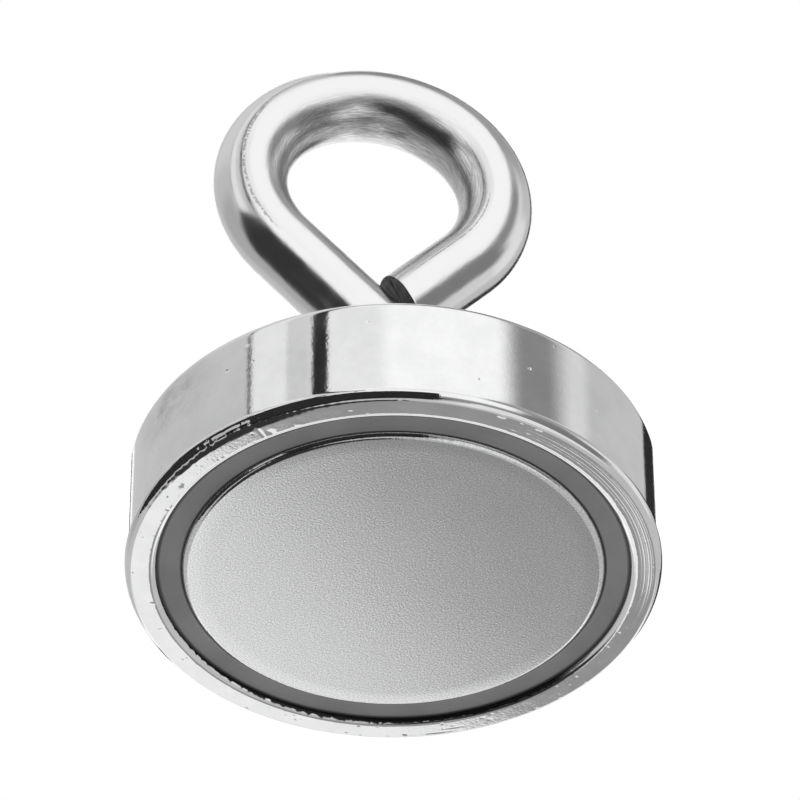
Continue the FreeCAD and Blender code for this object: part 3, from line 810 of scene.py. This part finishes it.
def make_eye_bolt(bar_material, end_material):
    """The bent bar, ring by ring from its threaded end to its cropped one."""
    ends, place = rod_path()
    distances = rod_rings(ends)
    angle = np.arange(ROD_SIDES) * TURN / ROD_SIDES
    rings, along = [], []

    def ring(distance, radius, push=0.0, tilt=0.0):
        x, z, heading = place(distance)
        across = np.array([math.cos(heading), 0.0, math.sin(heading)])
        forward = np.array([-math.sin(heading), 0.0, math.cos(heading)])
        centre = np.array([x, 0.0, z])
        # the crop drags the end out all round but for the eye's outer side, which is at an angle of pi
        dragged = 1 - np.exp(-(((angle - math.pi) / (50 * DEGREE)) ** 2))
        sheared = TIP_DRAG * dragged * radius / ROD_R
        lead = push + (sheared - radius * np.cos(angle) * math.tan(TIP_CUT_ANGLE)) * tilt
        side = np.array([0.0, 1.0, 0.0])
        rings.append(
            centre
            + np.outer(radius * np.cos(angle), across)
            + np.outer(radius * np.sin(angle), side)
            + np.outer(lead, forward)
        )
        along.append(distance + push)

    end_r = CREST_R - END_CHAMFER
    for share in (0.15, 0.4, 0.7, 0.9, 1.0):
        ring(0.0, np.full(ROD_SIDES, end_r * share))
    for distance in distances[1:]:
        _, z, _ = place(distance)
        radius = rod_radius(distance, z, angle)
        ring(distance, radius, tilt=smooth(distance, ends[4] - TIP_BLEND, ends[4] - TIP_EDGE))
    bar_rows = len(rings)
    for roll in np.linspace(0, 90, 6)[1:] * DEGREE:
        edge = np.full(ROD_SIDES, ROD_R - TIP_EDGE * (1 - math.cos(roll)))
        ring(ends[4] - TIP_EDGE, edge, push=TIP_EDGE * math.sin(roll), tilt=1.0)
    for share in (0.93, 0.85, 0.7, 0.5, 0.3, 0.12):
        wide = share * 9
        torn = [noise.noise(Vector((wide * math.cos(a), wide * math.sin(a), 7.0))) for a in angle]
        dish = 0.10 * MM * np.array(torn) - 0.10 * MM * (1 - share)
        ring(ends[4], np.full(ROD_SIDES, (ROD_R - TIP_EDGE) * share), push=dish, tilt=1.0)
    rows = len(rings)
    points = np.vstack(rings)
    low_pole, high_pole = len(points), len(points) + 1
    points = np.vstack([points, rings[0].mean(axis=0), rings[-1].mean(axis=0)])
    faces = grid_faces(rows, ROD_SIDES, closed_rows=False)
    along = [float(np.mean(a)) for a in along]
    uvs = []
    for i in range(rows - 1):
        v_low, v_high = along[i] / MM, along[i + 1] / MM
        for j in range(ROD_SIDES):
            u, u_next = j / ROD_SIDES, (j + 1) / ROD_SIDES
            uvs += [(u, v_low), (u_next, v_low), (u_next, v_high), (u, v_high)]
    caps = fan_faces(low_pole, 0, ROD_SIDES, inward=True)
    caps += fan_faces(high_pole, (rows - 1) * ROD_SIDES, ROD_SIDES, inward=False)
    uvs += [(0.0, 0.0)] * (3 * len(caps))
    bolt = add_piece("eye_bar", points, faces + caps, bar_material, uvs=uvs, sharp_angle=50 * DEGREE)
    bolt.data.materials.append(end_material)
    first_torn = (bar_rows + 1) * ROD_SIDES
    torn_faces = range(first_torn, (rows - 1) * ROD_SIDES)
    torn_cap = range(len(faces) + ROD_SIDES, len(faces) + 2 * ROD_SIDES)
    for index in (*torn_faces, *torn_cap):
        bolt.data.polygons[index].material_index = 1
    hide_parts("eye_bolt")
    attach(bolt, "eye_bolt")


# ---- camera, light and floor ---------------------------------------------------------------------

CAMERA_AZIMUTH = -9.9 * DEGREE
CAMERA_ELEVATION = -39.7 * DEGREE
CAMERA_DISTANCE = 493.2 * MM
CAMERA_AIM = Vector((0.66, -0.12, 20.97)) * MM
CAMERA_ROLL = -0.31 * DEGREE
CAMERA_LENS = 247.5
CAMERA_SENSOR = 36.0


def direction(azimuth, elevation):
    """Unit vector towards an azimuth, measured from -Y towards +X, and an elevation, in radians."""
    level = math.cos(elevation)
    return Vector((math.sin(azimuth) * level, -math.cos(azimuth) * level, math.sin(elevation)))


def make_camera():
    """A long lens below the pot and in front of it, looking up at the pulling face."""
    data = bpy.data.cameras.new("camera")
    data.lens = CAMERA_LENS
    data.sensor_width = CAMERA_SENSOR
    camera = bpy.data.objects.new("camera", data)
    camera.location = direction(CAMERA_AZIMUTH, CAMERA_ELEVATION) * CAMERA_DISTANCE
    look = (CAMERA_AIM - camera.location).normalized().to_track_quat("-Z", "Y").to_matrix()
    camera.rotation_euler = (look @ Matrix.Rotation(CAMERA_ROLL, 3, "Z")).to_euler()
    bpy.context.scene.collection.objects.link(camera)
    bpy.context.scene.camera = camera


def make_world():
    """Plain white all round, so that the object stands on the photo's white."""
    world = bpy.data.worlds.new("studio")
    world.use_nodes = True
    background = world.node_tree.nodes["Background"]
    background.inputs["Color"].default_value = (1.0, 1.0, 1.0, 1.0)
    background.inputs["Strength"].default_value = 1.0
    bpy.context.scene.world = world
    bpy.context.scene.view_settings.view_transform = "Standard"


def keep_to_reflections(card):
    """The studio is there for the metal to reflect: it isn't seen, and lights and shades no floor."""
    card.visible_camera = False
    card.visible_diffuse = False
    card.visible_shadow = False


# parts of the studio that the metal reflects, each drawn over those before it: azimuths to the camera's
# right, elevations, soft widths outside them, and brightness
BACKDROP = 0.64
PATCHES = (
    # the tent round the object
    ((-125, -63), (50, 82), (10, 12), 0.78),
    ((-120, -80), (-14, 20), (14, 12), 0.50),
    ((-61.5, -45), (8, 90), (1.5, 10), 0.98),
    ((-45, -36), (30, 90), (2, 8), 0.76),
    ((76, 88), (-10, 52), (8, 12), 0.84),
    ((88, 114), (2, 28), (8, 12), 0.95),
    ((50, 120), (58, 76), (14, 12), 0.40),
    ((157, 205), (-25, 90), (3, 12), 1.25),
    ((-160.2, -157.8), (-5, 90), (0.4, 5), 0.05),
    # key light over the camera, and the darker strip beside it
    ((-20, 48), (6, 58), (12, 20), 1.2),
    ((-30, -8), (30, 50), (9, 8), 1.02),
    ((-15, 40), (-34, -16), (22, 16), 0.34),
    ((59, 69), (-18, 42), (15, 12), 0.30),
    ((54, 84), (-26, 8), (12, 12), 0.24),
    ((20, 120), (78, 90), (20, 8), 0.28),
    # narrow flags
    ((139.5, 156.0), (5, 90), (0.6, 10), 0.03),
    ((-34.4, -28.2), (24, 90), (0.5, 12), 0.03),
    ((-64.7, -63.3), (30, 90), (0.3, 10), 0.16),
    # the dark table edge in front, and what lies below
    ((-70, 18), (-62, -27), (8, 5), 0.02),
    ((36, 95), (-75, -34), (6, 6), 0.95),
    ((-180, -70), (-90, -50), (10, 8), 0.04),
    ((172, 188), (-62, -22), (10, 8), 0.36),
)
# the bright sheet behind the object: how its edge slopes, where it is, and its brightness
SHEET_SLOPE = (0.65, 0.76)
SHEET_EDGE = 0.65
SHEET_LEVEL = 1.08
DOME_R = 0.95


def in_band(n, value, low, high, soft):
    """1 between low and high, fading to 0 over a width of soft outside them."""
    away = n.math("ABSOLUTE", n.math("SUBTRACT", value, (low + high) / 2))
    half = (high - low) / 2
    return n.spread(away, half, half + soft, 1.0, 0.0)


def studio_light():
    """Brightness by direction, from the object's own place."""
    n = Nodes("studio_light")
    x, y, z = n.split(n.position())
    level_distance = n.math("SQRT", n.math("ADD", n.math("MULTIPLY", x, x), n.math("MULTIPLY", y, y)))
    elevation = n.math("DIVIDE", n.math("ARCTAN2", z, level_distance), DEGREE)
    turned = n.math("DIVIDE", n.math("ARCTAN2", x, n.math("MULTIPLY", y, -1.0)), DEGREE)
    azimuth = n.math("SUBTRACT", turned, CAMERA_AZIMUTH / DEGREE)
    brightness = BACKDROP
    for azimuths, elevations, soft, level in PATCHES:
        middle = sum(azimuths) / 2
        from_middle = n.math("SUBTRACT", azimuth, middle)
        wrapped = n.math("WRAP", from_middle, 180.0, -180.0)
        half = (azimuths[1] - azimuths[0]) / 2
        beside = in_band(n, wrapped, -half, half, soft[0])
        cover = n.math("MULTIPLY", beside, in_band(n, elevation, *elevations, soft[1]))
        change = n.math("MULTIPLY", cover, n.math("SUBTRACT", level, brightness))
        brightness = n.math("ADD", brightness, change)
    # the pulling face looks at the edge of a bright sheet, which runs askew behind the object
    wrapped = n.math("WRAP", n.math("SUBTRACT", azimuth, 180.0), 180.0, -180.0)
    across = n.math("MULTIPLY", wrapped, SHEET_SLOPE[0])
    above = n.math("SUBTRACT", elevation, CAMERA_ELEVATION / DEGREE)
    askew = n.math("ADD", across, n.math("MULTIPLY", above, SHEET_SLOPE[1]))
    behind = n.math("MULTIPLY", in_band(n, wrapped, -14, 14, 6), in_band(n, elevation, -58, -26, 6))
    sheet = n.math("MULTIPLY", n.spread(askew, SHEET_EDGE - 0.5, SHEET_EDGE + 0.5), behind)
    change = n.math("MULTIPLY", sheet, n.math("SUBTRACT", SHEET_LEVEL, brightness))
    brightness = n.math("ADD", brightness, change)
    glow = n.add("ShaderNodeEmission", Color=(1, 1, 1, 1), Strength=brightness).outputs[0]
    n.tree.links.new(glow, n.tree.nodes["Material Output"].inputs["Surface"])
    return n.material


def make_dome(name, radius, material):
    """A sphere round the object, open by a pinhole at each pole."""
    columns, rows = 145, 73
    points, faces = [], []
    for elevation in np.linspace(-89.9, 89.9, rows):
        for azimuth in np.linspace(-180, 180, columns):
            points.append(direction(azimuth * DEGREE + CAMERA_AZIMUTH, elevation * DEGREE) * radius)
    for i in range(rows - 1):
        for j in range(columns - 1):
            corner = i * columns + j
            faces.append((corner, corner + 1, corner + columns + 1, corner + columns))
    keep_to_reflections(add_piece(name, points, faces, material))


def make_wall(name, radius, azimuths, heights, material, cut_left=0.0):
    """An upright curved card round the Z axis, between two azimuths from the camera's and two heights.

    cut_left is the share of its width over which its upper edge rises at the left.
    """
    columns = 49
    low, high = heights
    points, faces = [], []
    for height in heights:
        for j in range(columns):
            across = j / (columns - 1)
            azimuth = azimuths[0] + (azimuths[1] - azimuths[0]) * across
            level = direction(azimuth * DEGREE + CAMERA_AZIMUTH, 0.0) * radius
            share = min(1.0, across / cut_left) if height == high and cut_left else 1.0
            points.append((level.x, level.y, low + (height - low) * (0.1 + 0.9 * share)))
    for j in range(columns - 1):
        faces.append((j, j + 1, columns + j + 1, columns + j))
    keep_to_reflections(add_piece(name, points, faces, material))


def make_studio():
    """The dome that glows as the photo's studio does, and the dark cards close to the object."""
    make_dome("studio_dome", DOME_R, studio_light())
    black = Nodes("black_card").finish(Base_Color=grey(0.012), Roughness=0.9)
    make_wall("near_card", 90 * MM, (-106, -28), (-2 * MM, 54 * MM), black, cut_left=0.5)
    make_wall("near_card_foot", 90 * MM, (-106, -68), (-60 * MM, -2 * MM), black)
    make_wall("near_flag", 50 * MM, (-46, 14), (-30 * MM, 12 * MM), black)


def make_floor():
    """A pale floor, below the dome so that it is out of the metal's reflections."""
    n = Nodes("pale_floor")
    tone = n.noise(n.position(), 0.8, detail=2.0)
    colour = shade(n, tone, grey(0.86), grey(0.9))
    material = n.finish(Base_Color=colour, Roughness=0.8)
    half, level = 8.0, -1.0
    corners = [(-half, -half, level), (half, -half, level), (half, half, level), (-half, half, level)]
    floor = add_piece("floor", corners, [(0, 1, 2, 3)], material)


# ---- the scene -----------------------------------------------------------------------------------

make_camera()
make_world()
make_floor()
make_studio()

make_cup(polished_nickel())
make_magnet(satin_nickel())
make_resin(potting_resin())
make_washer(zinc_fastener("zinc_washer", 5000.0))
make_spring_washer(zinc_fastener("zinc_spring_washer", 3000.0))
make_nut(zinc_fastener("zinc_nut", 2500.0))
make_eye_bolt(plated_rod(), cropped_steel())
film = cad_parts["adhesive_film"]
film.data.materials.clear()
film.data.materials.append(cured_glue())
